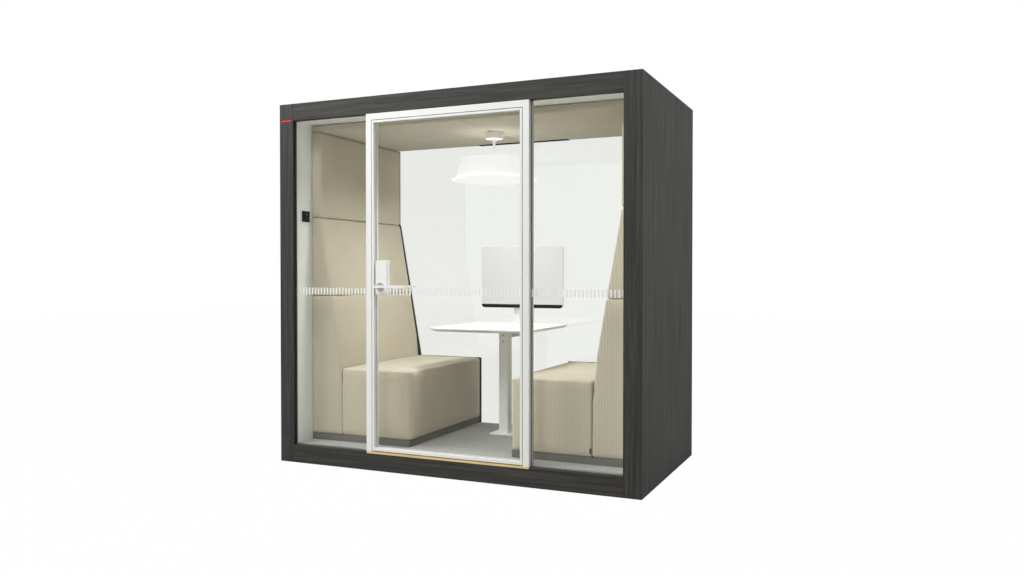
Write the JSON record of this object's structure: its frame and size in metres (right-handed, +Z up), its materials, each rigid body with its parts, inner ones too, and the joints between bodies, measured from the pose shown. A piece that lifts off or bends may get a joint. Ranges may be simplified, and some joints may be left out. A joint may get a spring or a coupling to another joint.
{
  "type": "acoustic office pod",
  "caption": "Free-standing acoustic meeting pod: dark casing, glazed front with a pivoted glass door, glazed rear, facing upholstered benches, table, display, pendant lamp and extract fan.",
  "frame": {"origin": "on the floor under the middle of the casing", "axes": "+X to the right seen from the door side, +Y from the door into the pod, +Z up"},
  "size_m": [2.4, 1.296, 2.3],
  "materials": {
    "laminate": "dark woodgrain laminate",
    "white_board": "white painted board",
    "white_metal": "white powder coat",
    "grey_metal": "satin anodised",
    "steel": "brushed",
    "oak": "pale lacquered oak",
    "glass": "clear laminated",
    "fabric": "beige ribbed weave",
    "carpet": "grey loop pile",
    "dark_board": "dark stained board",
    "black_plastic": "moulded black",
    "opal": "opal white",
    "grey_plastic": "moulded grey",
    "red_lens": "clear red lens",
    "screen": "pale satin screen"
  },
  "bodies": {
    "casing": {"back_pad_lower_left": "fabric", "back_pad_lower_right": "fabric", "back_pad_upper_left": "fabric", "back_pad_upper_right": "fabric", "carpet": "carpet", "ceiling_pad": "fabric", "control_plate": "black_plastic", "display_chin": "black_plastic", "display_mast": "white_metal", "display_panel": "screen", "door_head": "white_metal", "door_jamb_left": "white_metal", "door_jamb_right": "white_metal", "end_board_left": "dark_board", "end_board_right": "dark_board", "fan_housing": "black_plastic", "floor_cassette": "dark_board", "front_bottom_rail": "laminate", "front_pane_left": "glass", "front_pane_right": "glass", "front_stile_left": "laminate", "front_stile_right": "laminate", "front_top_rail": "laminate", "head_lining": "white_board", "lamp_diffuser": "opal", "lamp_shade": "opal", "lamp_stem": "white_metal", "lower_pivot_pin": "steel", "pane_channel_left": "grey_metal", "pane_channel_right": "grey_metal", "plinth_left": "dark_board", "plinth_right": "dark_board", "rear_frame": "laminate", "rear_pane": "glass", "roof_panel": "laminate", "seat_left": "fabric", "seat_right": "fabric", "side_lining_left": "white_board", "side_lining_right": "white_board", "side_wall_left": "laminate", "side_wall_right": "laminate", "status_light": "red_lens", "strike_plate": "steel", "table_beam": "white_metal", "table_column": "white_metal", "table_top": "white_metal", "threshold": "oak", "upper_pivot_pin": "steel", "vent_grille": "black_plastic", "wall_pad_left": "fabric", "wall_pad_right": "fabric"},
    "door_leaf": {"leaf_frame": "white_metal", "leaf_glass": "glass", "lock_case": "white_metal"},
    "door_lever": {"outside_lever": "white_metal", "inside_lever": "white_metal"},
    "latch": {"latch_bolt": "steel"},
    "light_button": {"light_key": "grey_plastic"},
    "fan_button": {"fan_key": "grey_plastic"},
    "rotor": {"fan_rotor": "grey_plastic"}
  },
  "joints": [
    {"name": "door_swing", "type": "hinge", "parent": "casing", "child": "door_leaf", "pos_m": [0.494, -0.618, 1.137], "axis": [0, 0, 1], "range_deg": [0, 95]},
    {"name": "lever_turn", "type": "hinge", "parent": "door_leaf", "child": "door_lever", "pos_m": [-0.442, -0.623, 1.133], "axis": [0, 1, 0], "range_deg": [0, 40], "stiffness_Nm_per_rad": 1.6, "springref_deg": -28.65},
    {"name": "latch_slide", "type": "slide", "parent": "door_leaf", "child": "latch", "axis": [1, 0, 0], "range_m": [0, 0.006]},
    {"name": "light_key_press", "type": "slide", "parent": "casing", "child": "light_button", "axis": [-1, 0, 0], "range_m": [0, 0.0015], "stiffness_N_per_m": 800, "springref_m": -0.001},
    {"name": "fan_key_press", "type": "slide", "parent": "casing", "child": "fan_button", "axis": [-1, 0, 0], "range_m": [0, 0.0015], "stiffness_N_per_m": 800, "springref_m": -0.001},
    {"name": "fan_spin", "type": "hinge", "parent": "casing", "child": "rotor", "pos_m": [0, 0.415, 2.256], "axis": [0, 0, 1], "continuous": true}
  ],
  "couplings": [
    {"joint": "latch_slide", "follows": "lever_turn", "m_per_rad": 0.0085}
  ]
}
